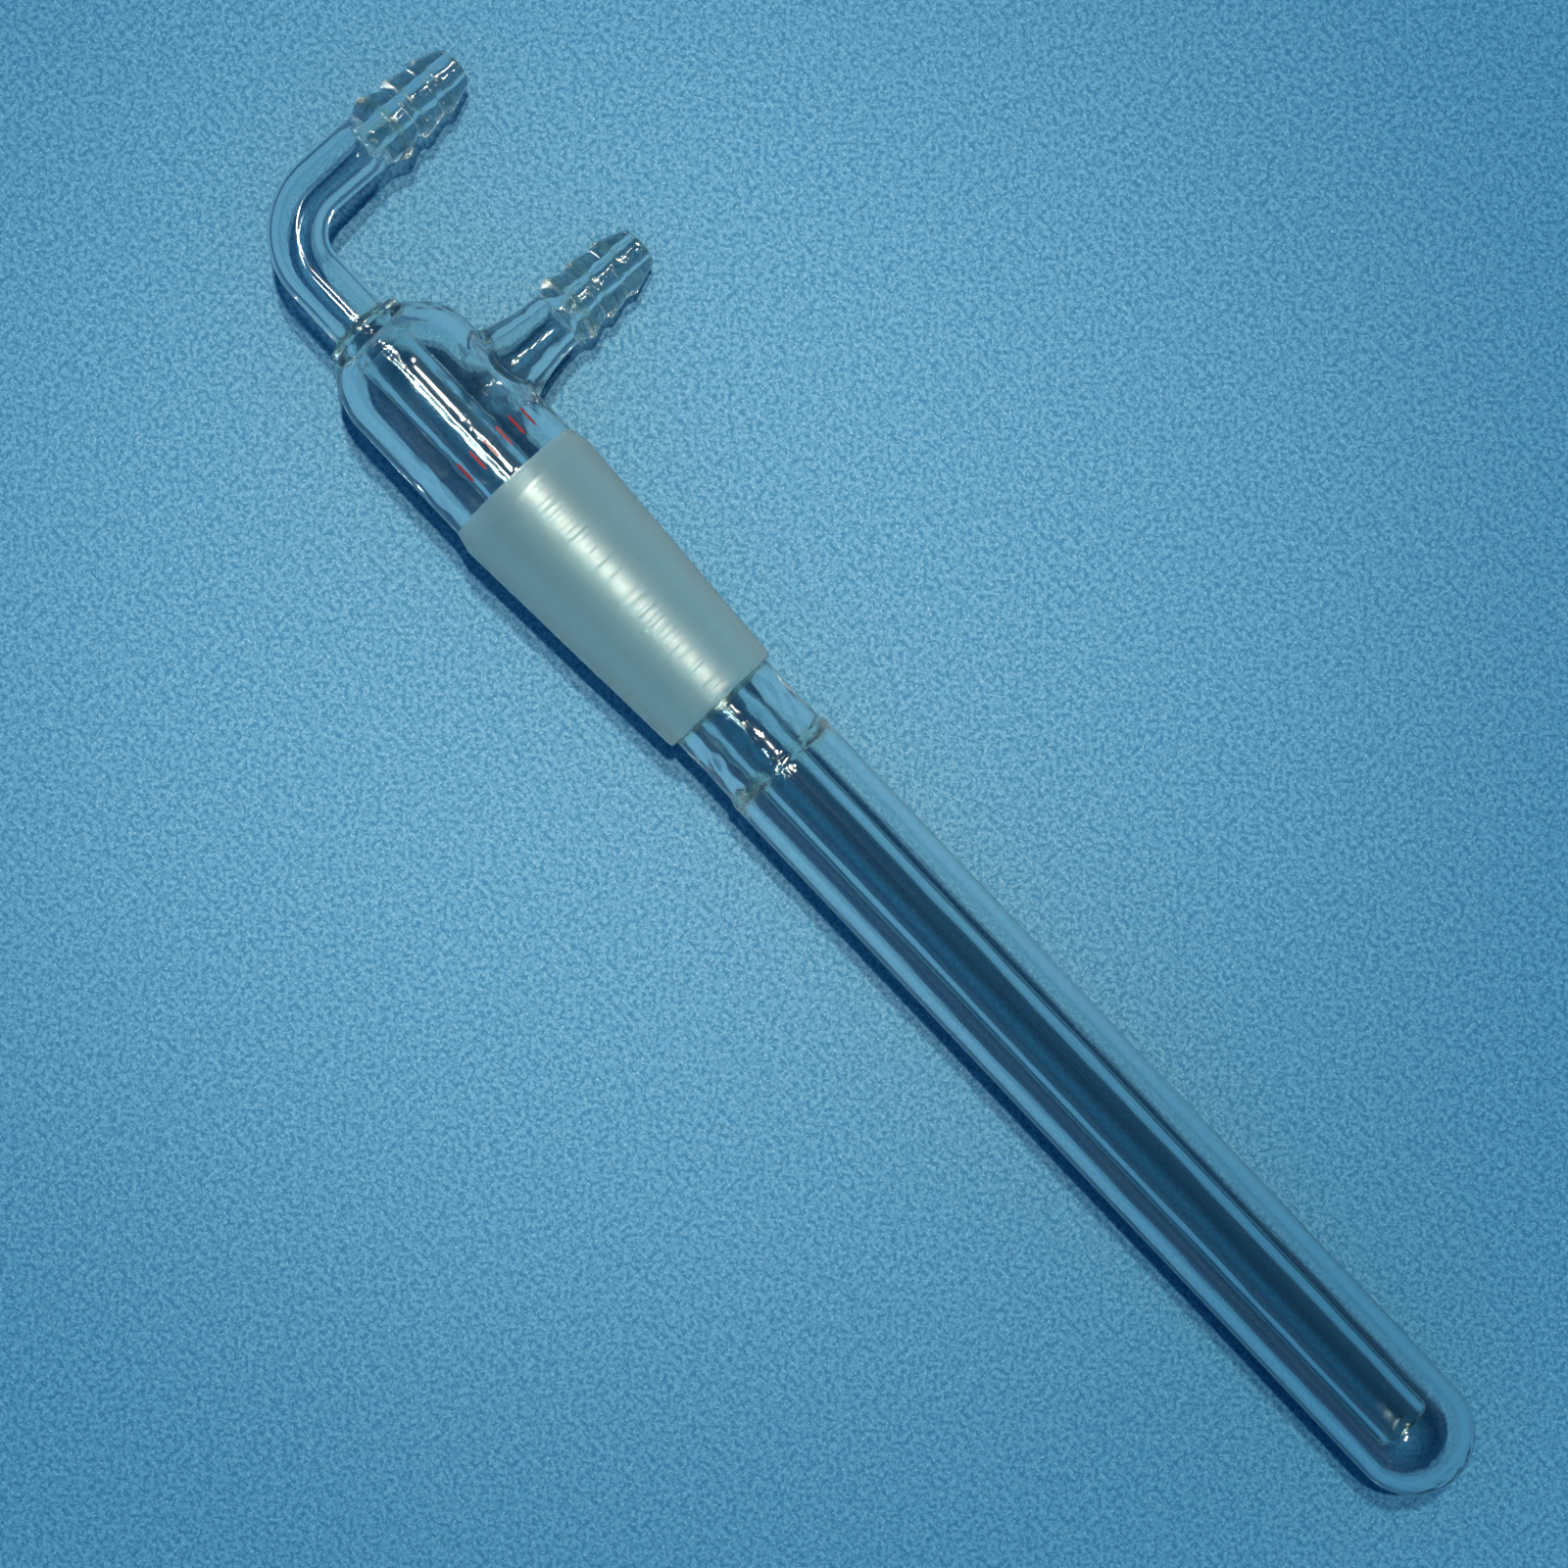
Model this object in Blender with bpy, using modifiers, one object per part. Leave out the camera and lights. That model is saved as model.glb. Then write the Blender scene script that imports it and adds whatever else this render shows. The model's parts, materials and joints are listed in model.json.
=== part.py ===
# Cold finger condenser: a one-piece glass condenser with a ground cone joint and two hose barbs.
# Lengths are in metres. The glass is drawn in its own straight frame: +X runs along the body from
# the head to the finger's tip, +Y runs along both hose arms, and the origin is the centre of the
# ground cone's large end. An empty then tips the whole of it on to the bench, the plane z = 0,
# where it lies on the cone's rim, the finger's round end and the outlet barb's outermost tooth.

import math

import bmesh
import bpy
from mathutils import Vector

# Glass seams: neighbouring pieces are cut apart by this much at each weld
SEAM = 0.0003

# Ground cone, a 24/40 taper joint: 24 mm at the large end, 40 mm long, 1 mm narrower each 10 mm
CONE_RADIUS = 0.0120
CONE_LENGTH = 0.0400
CONE_TAPER = 0.1
CONE_WALL = 0.0029
CONE_CHAMFER = 0.0029
CONE_STEP = 0.0014

# Clear tube between the cone's small end and the finger
TAIL_RADIUS = 0.0089
TAIL_WALL = 0.0022
TAIL_LENGTH = 0.0113

# Weld where the finger is joined to the tail
FINGER_SEAL_LENGTH = 0.0023
FINGER_SEAL_BULGE = 0.0002

# Finger, closed by a round end
FINGER_RADIUS = 0.0093
FINGER_WALL = 0.0019
FINGER_LENGTH = 0.1340
FINGER_END_WALL = 0.0020

# Head: a short straight tube closed by a dome
HEAD_RADIUS = 0.0113
HEAD_WALL = 0.0028
HEAD_LENGTH = 0.0211
DOME_DEPTH = 0.0113

# Ring seal: the bead that joins the inlet, the dome and the dip tube
RING_LENGTH = 0.0019
RING_NOSE_LENGTH = 0.0034
RING_FILLET = 0.0008
RING_BULGE = 0.0009

# Dip tube, which carries the water to the finger's far end
DIP_RADIUS = 0.0045
DIP_BORE_RADIUS = 0.0033
DIP_END_GAP = 0.0088
DIP_END_ROUND = 0.0005

# Inlet: a tube with one quarter bend
INLET_RADIUS = 0.0045
INLET_BORE_RADIUS = 0.0027
INLET_RUN = 0.0095
INLET_BEND_RADIUS = 0.0095
INLET_RISE = 0.0080

# Outlet: a neck that flares on to the head's side
OUTLET_SETBACK = 0.0134
OUTLET_RADIUS = 0.0046
OUTLET_BORE_RADIUS = 0.0028
OUTLET_FLARE_RADIUS = 0.0066
OUTLET_FLARE_BORE_RADIUS = 0.0037
OUTLET_NECK_LENGTH = 0.0102

# Hose barbs, root to tip. Each tooth is (height of its crest, crest radius, length of the step on
# its root side, radius of the groove at the foot of that step). The slope on its tip side runs on
# to the next groove or to the tip. The bore narrows from the tube's to the barb's own at the root.
INLET_BARB = {
    "length": 0.0193,
    "root_radius": INLET_RADIUS,
    "root_bore_radius": INLET_BORE_RADIUS,
    "tip_radius": 0.0036,
    "tip_round": 0.0011,
    "bore_radius": 0.0017,
    "bore_taper": 0.0028,
    "teeth": (
        (0.0048, 0.0057, 0.0026, 0.0045),
        (0.0094, 0.0052, 0.0012, 0.0043),
        (0.0144, 0.0049, 0.0012, 0.0043),
    ),
}
OUTLET_BARB = {
    "length": 0.0169,
    "root_radius": OUTLET_RADIUS,
    "root_bore_radius": OUTLET_BORE_RADIUS,
    "tip_radius": 0.0036,
    "tip_round": 0.0011,
    "bore_radius": 0.0017,
    "bore_taper": 0.0026,
    "teeth": (
        (0.0025, 0.0056, 0.0014, 0.0047),
        (0.0068, 0.0052, 0.0012, 0.0045),
        (0.0118, 0.0049, 0.0012, 0.0044),
    ),
}
TOOTH_CREST = 0.0004

# How finely round shapes are divided
BODY_STEPS = 48
ARM_STEPS = 32
ARC_STEPS = 8
BEND_STEPS = 12

# How far a cutter reaches past the glass that it cuts
CUTTER_MARGIN = 0.004

CLEAR_COLOUR = (0.80, 0.87, 0.90)
CLEAR_ROUGHNESS = 0.03
GROUND_COLOUR = (0.66, 0.74, 0.76)
GROUND_ROUGHNESS = 0.55
GLASS_IOR = 1.47

# The bead swells out past the inlet tube by its fillet and its bulge
RING_RADIUS = INLET_RADIUS + RING_FILLET + RING_BULGE

# Stations along the body, from the cone's large end
HEAD_FRONT = -CONE_CHAMFER
HEAD_BACK = HEAD_FRONT - HEAD_LENGTH
RING_FRONT = HEAD_BACK - DOME_DEPTH * math.sqrt(1 - (RING_RADIUS / HEAD_RADIUS) ** 2)
RING_BACK = RING_FRONT - RING_LENGTH
INLET_STATION = RING_BACK - INLET_RUN - INLET_BEND_RADIUS
OUTLET_STATION = HEAD_FRONT - OUTLET_SETBACK
TAIL_BACK = CONE_LENGTH + CONE_STEP
TAIL_FRONT = TAIL_BACK + TAIL_LENGTH
FINGER_BACK = TAIL_FRONT + FINGER_SEAL_LENGTH
FINGER_FRONT = FINGER_BACK + FINGER_LENGTH
DIP_BACK = RING_FRONT + RING_NOSE_LENGTH
DIP_FRONT = FINGER_FRONT + FINGER_RADIUS - FINGER_END_WALL - DIP_END_GAP

# Reaches along the arms, from the body's axis
INLET_BARB_ROOT = INLET_BEND_RADIUS + INLET_RISE
OUTLET_BARB_ROOT = HEAD_RADIUS + OUTLET_NECK_LENGTH

ALONG_BODY = (0.0, math.pi / 2, 0.0)
ALONG_ARM = (-math.pi / 2, 0.0, 0.0)


def start_clean():
    for old in list(bpy.data.objects):
        bpy.data.objects.remove(old, do_unlink=True)


def new_collection(name):
    collection = bpy.data.collections.new(name)
    bpy.context.scene.collection.children.link(collection)
    return collection


def glass(name, colour, roughness):
    material = bpy.data.materials.new(name)
    material.use_nodes = True
    shader = material.node_tree.nodes["Principled BSDF"]
    shader.inputs["Base Color"].default_value = (*colour, 1.0)
    shader.inputs["Roughness"].default_value = roughness
    shader.inputs["Metallic"].default_value = 0.0
    shader.inputs["IOR"].default_value = GLASS_IOR
    shader.inputs["Transmission Weight"].default_value = 1.0
    return material


def arc(centre, radii, start, end, steps=ARC_STEPS):
    # points (radius, height) on an ellipse, from one angle to another in degrees
    points = []
    for i in range(steps + 1):
        angle = math.radians(start + (end - start) * i / steps)
        points.append((centre[0] + radii[0] * math.cos(angle), centre[1] + radii[1] * math.sin(angle)))
    return points


def wall(outer, inner):
    # a tube's closed outline from two sides that both run bottom to top
    return list(reversed(outer)) + list(inner)


def smooth(mesh):
    mesh.shade_smooth()
    mesh.set_sharp_from_angle(angle=math.radians(35))


def settled_mesh(source):
    # the mesh of an object with its modifiers carried out
    bpy.context.view_layer.update()
    depsgraph = bpy.context.evaluated_depsgraph_get()
    return bpy.data.meshes.new_from_object(source.evaluated_get(depsgraph))


def turned(name, outline, steps, place, facing, collection, closed=True):
    # an outline of (radius, height) points turned about the piece's own Z, then faced along its axis
    mesh = bpy.data.meshes.new(name)
    edges = [(i, i + 1) for i in range(len(outline) - 1)]
    if closed:
        edges.append((len(outline) - 1, 0))
    mesh.from_pydata([(radius, 0.0, height) for radius, height in outline], edges, [])
    piece = bpy.data.objects.new(name, mesh)
    collection.objects.link(piece)
    screw = piece.modifiers.new("turn", "SCREW")
    screw.axis = "Z"
    screw.angle = 2 * math.pi
    screw.steps = screw.render_steps = steps
    screw.use_merge_vertices = True
    screw.merge_threshold = 0.00001
    piece.data = settled_mesh(piece)
    piece.modifiers.clear()
    smooth(piece.data)
    piece.location = place
    piece.rotation_euler = facing
    return piece


def rod_cutter(name, radius, length, steps, place, facing, collection):
    # a plain rod that stands on its own origin
    mesh = bpy.data.meshes.new(name)
    rod = bmesh.new()
    bmesh.ops.create_cone(
        rod, cap_ends=True, segments=steps, radius1=radius, radius2=radius, depth=length
    )
    bmesh.ops.translate(rod, vec=(0.0, 0.0, length / 2), verts=rod.verts)
    rod.to_mesh(mesh)
    rod.free()
    cutter = bpy.data.objects.new(name, mesh)
    collection.objects.link(cutter)
    cutter.location = place
    cutter.rotation_euler = facing
    cutter.hide_render = True
    cutter.display_type = "WIRE"
    return cutter


def cut(piece, cutter):
    boolean = piece.modifiers.new("cut", "BOOLEAN")
    boolean.operation = "DIFFERENCE"
    boolean.object = cutter


def ground_joint_cone(pieces):
    small_radius = CONE_RADIUS - CONE_LENGTH * CONE_TAPER / 2
    step_radii = (small_radius - TAIL_RADIUS, CONE_STEP - SEAM / 2)
    outer = [(HEAD_RADIUS, HEAD_FRONT + SEAM / 2), (CONE_RADIUS, 0.0)]
    outer += arc((TAIL_RADIUS, CONE_LENGTH), step_radii, 0, 90, 4)
    inner = [
        (HEAD_RADIUS - HEAD_WALL, HEAD_FRONT + SEAM / 2),
        (CONE_RADIUS - CONE_WALL, 0.0),
        (small_radius - CONE_WALL, CONE_LENGTH - CONE_STEP),
        (TAIL_RADIUS - TAIL_WALL, TAIL_BACK - SEAM / 2),
    ]
    return turned(
        "ground_joint_cone", wall(outer, inner), BODY_STEPS, (0, 0, 0), ALONG_BODY, pieces
    )


def joint_tail(pieces):
    ends = (TAIL_BACK + SEAM / 2, TAIL_FRONT - SEAM / 2)
    outer = [(TAIL_RADIUS, height) for height in ends]
    inner = [(TAIL_RADIUS - TAIL_WALL, height) for height in ends]
    return turned("joint_tail", wall(outer, inner), BODY_STEPS, (0, 0, 0), ALONG_BODY, pieces)


def finger_seal_ring(pieces):
    back, front = TAIL_FRONT + SEAM / 2, FINGER_BACK - SEAM / 2
    outer = []
    for i in range(ARC_STEPS + 1):
        share = i / ARC_STEPS
        radius = TAIL_RADIUS + (FINGER_RADIUS - TAIL_RADIUS) * share
        radius += FINGER_SEAL_BULGE * math.sin(math.pi * share)
        outer.append((radius, back + (front - back) * share))
    inner = [(TAIL_RADIUS - TAIL_WALL, back), (FINGER_RADIUS - FINGER_WALL, front)]
    return turned("finger_seal_ring", wall(outer, inner), BODY_STEPS, (0, 0, 0), ALONG_BODY, pieces)


def finger_tube(pieces):
    ends = (FINGER_BACK + SEAM / 2, FINGER_FRONT - SEAM / 2)
    outer = [(FINGER_RADIUS, height) for height in ends]
    inner = [(FINGER_RADIUS - FINGER_WALL, height) for height in ends]
    return turned("finger_tube", wall(outer, inner), BODY_STEPS, (0, 0, 0), ALONG_BODY, pieces)


def finger_end_cap(pieces):
    bore = FINGER_RADIUS - FINGER_WALL
    outer = arc((0, FINGER_FRONT), (FINGER_RADIUS, FINGER_RADIUS), 90, 0)
    inner = arc((0, FINGER_FRONT), (bore, FINGER_RADIUS - FINGER_END_WALL), 0, 90)
    outer[0] = (0.0, FINGER_FRONT + FINGER_RADIUS)
    inner[-1] = (0.0, FINGER_FRONT + FINGER_RADIUS - FINGER_END_WALL)
    outer[-1] = (FINGER_RADIUS, FINGER_FRONT + SEAM / 2)
    inner[0] = (bore, FINGER_FRONT + SEAM / 2)
    return turned(
        "finger_end_cap", outer + inner, BODY_STEPS, (0, 0, 0), ALONG_BODY, pieces, closed=False
    )


def head_body(pieces, cutters):
    ends = (HEAD_BACK + SEAM / 2, HEAD_FRONT - SEAM / 2)
    outer = [(HEAD_RADIUS, height) for height in ends]
    inner = [(HEAD_RADIUS - HEAD_WALL, height) for height in ends]
    body = turned("head_body", wall(outer, inner), BODY_STEPS, (0, 0, 0), ALONG_BODY, pieces)
    hole = rod_cutter(
        "outlet_hole_cutter",
        OUTLET_FLARE_BORE_RADIUS,
        HEAD_RADIUS + CUTTER_MARGIN,
        ARM_STEPS,
        (OUTLET_STATION, 0, 0),
        ALONG_ARM,
        cutters,
    )
    cut(body, hole)
    return body


def head_dome(pieces):
    # the dome is part of an ellipse, cut off where the ring seal's bead and nose pass through it
    nose_radius = DIP_RADIUS + SEAM
    inner_radii = (HEAD_RADIUS - HEAD_WALL, DOME_DEPTH - HEAD_WALL)
    outer_end = math.degrees(math.acos(RING_RADIUS / HEAD_RADIUS))
    inner_end = math.degrees(math.acos(nose_radius / inner_radii[0]))
    outer = arc((0, HEAD_BACK), (HEAD_RADIUS, DOME_DEPTH), -outer_end, 0)
    inner = arc((0, HEAD_BACK), inner_radii, -inner_end, 0)
    outer[0] = (RING_RADIUS, RING_FRONT + SEAM / 2)
    outer[-1] = (HEAD_RADIUS, HEAD_BACK - SEAM / 2)
    inner[-1] = (inner_radii[0], HEAD_BACK - SEAM / 2)
    inner.insert(0, (nose_radius, RING_FRONT + SEAM / 2))
    return turned("head_dome", wall(outer, inner), BODY_STEPS, (0, 0, 0), ALONG_BODY, pieces)


def inlet_ring_seal(pieces):
    back, front = RING_BACK + SEAM / 2, RING_FRONT - SEAM / 2
    bead_centre = (INLET_RADIUS + RING_FILLET, (back + front) / 2)
    bead = arc(bead_centre, (RING_BULGE, (front - back) / 2), -90, 90)
    outer = [(INLET_RADIUS, back)] + bead
    outer += [(DIP_RADIUS, front), (DIP_RADIUS, DIP_BACK - SEAM / 2)]
    inner = [
        (INLET_BORE_RADIUS, back),
        (INLET_BORE_RADIUS, front),
        (DIP_BORE_RADIUS, DIP_BACK - SEAM / 2),
    ]
    return turned("inlet_ring_seal", wall(outer, inner), BODY_STEPS, (0, 0, 0), ALONG_BODY, pieces)


def dip_tube(pieces):
    back = DIP_BACK + SEAM / 2
    lip = (DIP_RADIUS - DIP_END_ROUND, DIP_FRONT - DIP_END_ROUND)
    outer = [(DIP_RADIUS, back)] + arc(lip, (DIP_END_ROUND, DIP_END_ROUND), 0, 90, 4)
    inner = [(DIP_BORE_RADIUS, back), (DIP_BORE_RADIUS, DIP_FRONT)]
    return turned("dip_tube", wall(outer, inner), ARM_STEPS, (0, 0, 0), ALONG_BODY, pieces)


def inlet_bend(pieces):
    # the tube's centre line: back from the ring seal, round the quarter bend, then out along the arm
    bend_front = INLET_STATION + INLET_BEND_RADIUS
    route = [Vector((RING_BACK - SEAM / 2, 0, 0))]
    for i in range(BEND_STEPS + 1):
        angle = math.pi / 2 * i / BEND_STEPS
        along = bend_front - INLET_BEND_RADIUS * math.sin(angle)
        out = INLET_BEND_RADIUS * (1 - math.cos(angle))
        route.append(Vector((along, out, 0)))
    route.append(Vector((INLET_STATION, INLET_BARB_ROOT - SEAM / 2, 0)))

    line = bpy.data.curves.new("inlet_bend", "CURVE")
    line.dimensions = "3D"
    line.bevel_depth = INLET_RADIUS
    line.bevel_resolution = (ARM_STEPS - 4) // 2
    spline = line.splines.new("POLY")
    spline.points.add(len(route) - 1)
    for point, place in zip(spline.points, route):
        point.co = (*place, 1.0)
    guide = bpy.data.objects.new("inlet_bend_line", line)
    pieces.objects.link(guide)
    mesh = settled_mesh(guide)
    bpy.data.objects.remove(guide, do_unlink=True)

    bend = bpy.data.objects.new("inlet_bend", mesh)
    pieces.objects.link(bend)
    smooth(mesh)
    glass_wall = bend.modifiers.new("glass_wall", "SOLIDIFY")
    glass_wall.thickness = INLET_RADIUS - INLET_BORE_RADIUS
    glass_wall.offset = -1.0
    return bend


def outlet_neck(pieces, cutters):
    # the neck narrows away from the head, inside and out, by the square of the length that is left
    saddle_radius = HEAD_RADIUS + SEAM
    start = math.sqrt(saddle_radius**2 - OUTLET_FLARE_RADIUS**2) - CUTTER_MARGIN / 4
    end = OUTLET_BARB_ROOT - SEAM / 2
    outer, inner = [(OUTLET_FLARE_RADIUS, start)], [(OUTLET_FLARE_BORE_RADIUS, start)]
    for i in range(ARC_STEPS + 1):
        left = 1 - i / ARC_STEPS
        height = HEAD_RADIUS + (end - HEAD_RADIUS) * i / ARC_STEPS
        flare = OUTLET_FLARE_RADIUS - OUTLET_RADIUS
        bore_flare = OUTLET_FLARE_BORE_RADIUS - OUTLET_BORE_RADIUS
        outer.append((OUTLET_RADIUS + flare * left**2, height))
        inner.append((OUTLET_BORE_RADIUS + bore_flare * left**2, height))
    neck = turned(
        "outlet_neck", wall(outer, inner), ARM_STEPS, (OUTLET_STATION, 0, 0), ALONG_ARM, pieces
    )
    saddle = rod_cutter(
        "saddle_cutter",
        saddle_radius,
        2 * OUTLET_FLARE_RADIUS + 2 * CUTTER_MARGIN,
        BODY_STEPS,
        (OUTLET_STATION - OUTLET_FLARE_RADIUS - CUTTER_MARGIN, 0, 0),
        ALONG_BODY,
        cutters,
    )
    cut(neck, saddle)
    return neck


def barb_outline(barb):
    # the outside of a barb from its root to its rounded tip, heights counted from the root
    outline = [(barb["root_radius"], SEAM / 2)]
    for crest_height, crest_radius, step_length, groove_radius in barb["teeth"]:
        outline.append((groove_radius, crest_height - step_length))
        outline.append((crest_radius, crest_height - TOOTH_CREST / 2))
        outline.append((crest_radius, crest_height + TOOTH_CREST / 2))
    lip = (barb["tip_radius"] - barb["tip_round"], barb["length"] - barb["tip_round"])
    outline += arc(lip, (barb["tip_round"], barb["tip_round"]), 0, 90, 4)
    return outline


def hose_barb(name, barb, station, root, pieces):
    inner = [
        (barb["root_bore_radius"], SEAM / 2),
        (barb["bore_radius"], barb["bore_taper"]),
        (barb["bore_radius"], barb["length"]),
    ]
    outline = wall(barb_outline(barb), inner)
    return turned(name, outline, ARM_STEPS, (station, root, 0), ALONG_ARM, pieces)


def bench_pitch():
    # how far the finger's end hangs down when it and a round section of the body both touch
    leans = []
    sections = ((0.0, CONE_RADIUS), (HEAD_FRONT, HEAD_RADIUS), (HEAD_BACK, HEAD_RADIUS))
    for station, radius in sections:
        span = FINGER_FRONT - station
        leans.append(
            math.acos(FINGER_RADIUS / math.hypot(span, radius)) - math.atan2(span, radius)
        )
    return max(leans)


def bench_roll(pitch):
    # how far the arms turn down about the body before the first point of a barb touches
    rolls = []
    arms = (
        (INLET_STATION, INLET_BARB_ROOT, INLET_BARB),
        (OUTLET_STATION, OUTLET_BARB_ROOT, OUTLET_BARB),
    )
    for station, root, barb in arms:
        axis_height = FINGER_RADIUS + (FINGER_FRONT - station) * math.sin(pitch)
        for radius, height in barb_outline(barb):
            reach = root + height
            rolls.append(
                math.asin(axis_height / math.hypot(reach, radius)) - math.atan2(radius, reach)
            )
    return min(rolls)


def lie_on_bench(rest, pieces):
    # tips the empty that carries the glass, then centres the glass over the origin at z = 0
    pitch = bench_pitch()
    rest.rotation_euler = (-bench_roll(pitch), pitch, 0.0)
    bpy.context.view_layer.update()
    depsgraph = bpy.context.evaluated_depsgraph_get()
    corners = []
    for piece in pieces.objects:
        if piece.type == "MESH":
            placed = piece.evaluated_get(depsgraph)
            corners += [placed.matrix_world @ vertex.co for vertex in placed.data.vertices]
    low = Vector([min(corner[i] for corner in corners) for i in range(3)])
    high = Vector([max(corner[i] for corner in corners) for i in range(3)])
    rest.location = (-(low.x + high.x) / 2, -(low.y + high.y) / 2, -low.z)


def build():
    start_clean()
    pieces = new_collection("cold_finger_condenser")
    cutters = new_collection("cutters")
    clear_pieces = [
        hose_barb("inlet_hose_barb", INLET_BARB, INLET_STATION, INLET_BARB_ROOT, pieces),
        inlet_bend(pieces),
        inlet_ring_seal(pieces),
        head_dome(pieces),
        head_body(pieces, cutters),
        outlet_neck(pieces, cutters),
        hose_barb("outlet_hose_barb", OUTLET_BARB, OUTLET_STATION, OUTLET_BARB_ROOT, pieces),
        joint_tail(pieces),
        finger_seal_ring(pieces),
        finger_tube(pieces),
        finger_end_cap(pieces),
        dip_tube(pieces),
    ]
    for piece in clear_pieces:
        piece.data.materials.append(glass(piece.name + "_glass", CLEAR_COLOUR, CLEAR_ROUGHNESS))
    cone = ground_joint_cone(pieces)
    cone.data.materials.append(glass(cone.name + "_glass", GROUND_COLOUR, GROUND_ROUGHNESS))

    rest = bpy.data.objects.new("glass_frame", None)
    pieces.objects.link(rest)
    for piece in [*clear_pieces, cone, *cutters.objects]:
        piece.parent = rest
    lie_on_bench(rest, pieces)


build()
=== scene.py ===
# Clear glass cold finger condenser lying on a pale blue bench top, with a painted pool of light that leaves it
# palest round the glass.
# The glass is drawn in its own frame, in millimetres: u runs along the body from the head to the tip,
# v along the hose arms and w across both, from the centre of the ground cone's large end.
import json
import math

import bmesh
import bpy
import numpy as np
from mathutils import Matrix, Vector, noise


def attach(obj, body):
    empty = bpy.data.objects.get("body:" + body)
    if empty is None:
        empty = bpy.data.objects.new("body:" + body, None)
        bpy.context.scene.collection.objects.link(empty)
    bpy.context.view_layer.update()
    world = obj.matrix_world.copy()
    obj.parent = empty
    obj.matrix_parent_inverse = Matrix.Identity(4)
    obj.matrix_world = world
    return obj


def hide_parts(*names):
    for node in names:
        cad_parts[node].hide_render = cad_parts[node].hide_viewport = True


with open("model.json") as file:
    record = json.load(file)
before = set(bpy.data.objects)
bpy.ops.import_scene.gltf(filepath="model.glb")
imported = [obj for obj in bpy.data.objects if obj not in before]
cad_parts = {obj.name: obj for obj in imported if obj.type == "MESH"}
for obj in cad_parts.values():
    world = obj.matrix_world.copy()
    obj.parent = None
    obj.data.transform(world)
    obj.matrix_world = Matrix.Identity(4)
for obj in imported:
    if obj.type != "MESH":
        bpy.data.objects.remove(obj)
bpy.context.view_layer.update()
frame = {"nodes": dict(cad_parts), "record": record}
mm = 0.001
mounts = {mount["name"]: mount for mount in frame["record"]["mounts"]}

coneCentre = Vector(mounts["ground_cone"]["pos_m"])
bodyWay = Vector(mounts["ground_cone"]["axis"]).normalized()
sideWay = bodyWay.cross(Vector(mounts["inlet_hose_end"]["axis"])).normalized()
armWay = sideWay.cross(bodyWay)
glassAxes = Matrix((bodyWay, armWay, sideWay)).transposed()


def toBench(point):  # from the glass's own frame to the bench, in metres
    return coneCentre + glassAxes @ (Vector(point) * mm)


# what the CAD says: welds, radii, bores and the barbs' teeth
reading = {"slice": 0.3, "outsideShare": 0.5, "boreShare": 0.62}  # mm, and shares of an arm's root radius


def cadPoints(node):
    mesh = frame["nodes"][node].data
    flat = np.empty(len(mesh.vertices) * 3)
    mesh.vertices.foreach_get("co", flat)
    return (flat.reshape(-1, 3) - np.array(coneCentre)) @ np.array(glassAxes) / mm


cad = {name: cadPoints(name) for name in frame["nodes"]}


def lowEnd(node, axis=0):
    return float(cad[node][:, axis].min())


def highEnd(node, axis=0):
    return float(cad[node][:, axis].max())


def weld(back, front, axis=0):  # where two neighbouring tubes were fused
    return (highEnd(back, axis) + lowEnd(front, axis)) / 2


def wallAt(node, station):  # bore and outer radius of a round piece of the body at one station
    points = cad[node]
    across = np.hypot(points[:, 1], points[:, 2])[np.abs(points[:, 0] - station) < reading["slice"]]
    return float(across.min()), float(across.max())


def armShape(node, station, lowest=-99.0):
    # outside and bore of a piece of an arm as (height, radius), root to tip
    points = cad[node]
    radii = np.hypot(points[:, 0] - station, points[:, 2])
    found = {}
    for height, radius in zip(np.round(points[:, 1], 1), radii):
        if height >= lowest:
            found.setdefault(float(height), []).append(float(radius))
    heights = sorted(found)
    root = max(found[heights[0]])
    outmost = [(height, max(found[height])) for height in heights]
    inmost = [(height, min(found[height])) for height in heights]
    outside = [(height, radius) for height, radius in outmost if radius > root * reading["outsideShare"]]
    bore = [(height, radius) for height, radius in inmost if radius < root * reading["boreShare"]]
    return outside, bore


inletStation = (lowEnd("inlet_hose_barb") + highEnd("inlet_hose_barb")) / 2
outletStation = (lowEnd("outlet_hose_barb") + highEnd("outlet_hose_barb")) / 2
at = {
    "inletWeld": weld("inlet_bend", "inlet_ring_seal"),
    "domeBack": lowEnd("head_dome") - (lowEnd("inlet_ring_seal") - highEnd("inlet_bend")) / 2,
    "headBack": weld("head_dome", "head_body"),
    "coneBack": weld("head_body", "ground_joint_cone"),
    "tailBack": weld("ground_joint_cone", "joint_tail"),
    "tailFront": weld("joint_tail", "finger_seal_ring"),
    "fingerBack": weld("finger_seal_ring", "finger_tube"),
    "fingerFront": weld("finger_tube", "finger_end_cap"),
    "tip": highEnd("finger_end_cap"),
    "dipBack": weld("inlet_ring_seal", "dip_tube"),
    "dipFront": highEnd("dip_tube"),
    "inletRoot": weld("inlet_bend", "inlet_hose_barb", axis=1),
    "outletRoot": weld("outlet_neck", "outlet_hose_barb", axis=1),
}
inletBore, inletRadius = wallAt("inlet_bend", highEnd("inlet_bend"))
headBore, headRadius = wallAt("head_dome", highEnd("head_dome"))
tailBore, tailRadius = wallAt("joint_tail", lowEnd("joint_tail"))
fingerBore, fingerRadius = wallAt("finger_tube", lowEnd("finger_tube"))
dipBore, dipRadius = wallAt("dip_tube", lowEnd("dip_tube"))
coneBore, coneRadius = wallAt("ground_joint_cone", 0.0)
ringRadius = wallAt("head_dome", lowEnd("head_dome"))[1]
bendUnderside = cad["inlet_bend"][np.abs(cad["inlet_bend"][:, 1] + inletRadius) < 0.01]
bendStart = float(bendUnderside[:, 0].min())
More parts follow.
